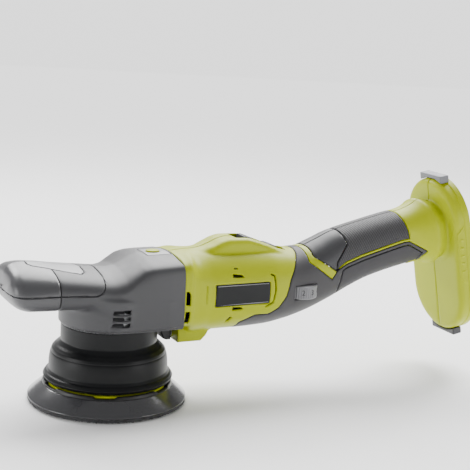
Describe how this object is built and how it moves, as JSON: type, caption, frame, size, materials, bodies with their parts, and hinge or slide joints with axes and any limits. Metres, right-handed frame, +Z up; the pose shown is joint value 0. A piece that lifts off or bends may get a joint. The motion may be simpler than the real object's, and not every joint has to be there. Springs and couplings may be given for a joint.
{
  "type": "dual action polisher",
  "caption": "Cordless dual action polisher with a front grip, rubber boot, 125 mm hook-and-loop backing plate, slide switch, speed dial and a foot for a battery.",
  "frame": {"origin": "on the spindle axis, in the plane of the backing plate's hook face", "axes": "+X from the spindle towards the battery foot, +Z up along the spindle, away from the work; -Z is out of the hook face"},
  "size_m": [0.4194, 0.125, 0.1738],
  "materials": {
    "lime_casing": "satin moulded plastic",
    "head_grey": "fine-textured moulded plastic",
    "light_grey": "satin moulded plastic",
    "soft_grey": "soft-touch overmould",
    "grip_rubber": "textured soft-touch overmould",
    "boot_rubber": "moulded rubber",
    "black_plastic": "moulded plastic",
    "dark_plastic": "moulded plastic",
    "plate_black": "satin plate moulding",
    "hook_nylon": "hook fastener face",
    "steel": "machined steel",
    "cast_alloy": "die-cast",
    "copper": "copper and laminated steel",
    "brass": "stamped brass",
    "carbon": "pressed carbon",
    "lead_red": "wire insulation",
    "dial_grey": "moulded plastic",
    "label_black": "printed label film"
  },
  "bodies": {
    "housing": {"housing_left": "lime_casing", "housing_right": "lime_casing", "waist_overmould_left": "soft_grey", "waist_overmould_right": "soft_grey", "upper_grip_left": "grip_rubber", "upper_grip_right": "grip_rubber", "name_plate": "label_black", "clamp_block": "black_plastic", "brush_card": "black_plastic", "switch_module": "black_plastic", "speed_controller": "black_plastic", "terminal_block": "black_plastic", "clamp_screw": "steel", "spindle_bearing_upper": "steel", "spindle_bearing_lower": "steel", "lock_spring": "steel", "pinion_bearing": "steel", "rear_bearing": "steel", "motor_can": "steel", "housing_screw_1": "steel", "housing_screw_2": "steel", "housing_screw_3": "steel", "housing_screw_4": "steel", "flange_screw_1": "steel", "flange_screw_2": "steel", "foot_bumper_top": "dark_plastic", "foot_bumper_bottom": "dark_plastic", "head_cover": "head_grey", "front_grip_cover": "head_grey", "nose_cap_upper": "head_grey", "nose_cap_lower": "head_grey", "grip_inlay": "light_grey", "head_top_panel": "light_grey", "rubber_boot": "boot_rubber", "gear_case": "cast_alloy", "brush_holder_left": "brass", "brush_holder_right": "brass", "contact_blade_positive": "brass", "contact_blade_negative": "brass", "carbon_brush_left": "carbon", "carbon_brush_right": "carbon", "battery_lead": "lead_red"},
    "spindle": {"spindle": "steel", "crown_gear": "steel", "counterweight": "cast_alloy", "eccentric_bearing": "steel"},
    "plate": {"plate_arbor": "steel", "backing_plate": "plate_black", "hook_face": "hook_nylon", "plate_seal_ring": "plate_black", "plate_accent_ring": "lime_casing"},
    "armature": {"armature_shaft": "steel", "armature_core": "copper", "commutator": "copper", "cooling_fan": "black_plastic", "pinion": "steel"},
    "power_switch": {"power_switch_knob": "dark_plastic"},
    "speed_dial": {"speed_dial": "dial_grey"},
    "lock_button": {"spindle_lock_button": "lime_casing", "spindle_lock_pin": "steel"}
  },
  "joints": [
    {"name": "spindle_turn", "type": "hinge", "parent": "housing", "child": "spindle", "pos_m": [0, 0, 0], "axis": [0, 0, 1], "continuous": true},
    {"name": "plate_turn", "type": "hinge", "parent": "spindle", "child": "plate", "pos_m": [-0.00178, -0.00358, 0], "axis": [0, 0, 1], "continuous": true},
    {"name": "armature_turn", "type": "hinge", "parent": "housing", "child": "armature", "pos_m": [0, 0, 0.0835], "axis": [1, 0, 0], "continuous": true},
    {"name": "power_switch_slide", "type": "slide", "parent": "housing", "child": "power_switch", "axis": [-0.9455, 0, 0.3256], "range_m": [0, 0.006]},
    {"name": "speed_dial_turn", "type": "hinge", "parent": "housing", "child": "speed_dial", "pos_m": [0.16, -0.0185, 0.081], "axis": [0, 0, 1], "range_deg": [-135, 135]},
    {"name": "spindle_lock_press", "type": "slide", "parent": "housing", "child": "lock_button", "axis": [0, 0, -1], "range_m": [0, 0.003], "stiffness_N_per_m": 200, "springref_m": -0.003, "deforming": ["lock_spring"]}
  ],
  "couplings": [
    {"joint": "armature_turn", "follows": "spindle_turn", "ratio": 3}
  ]
}
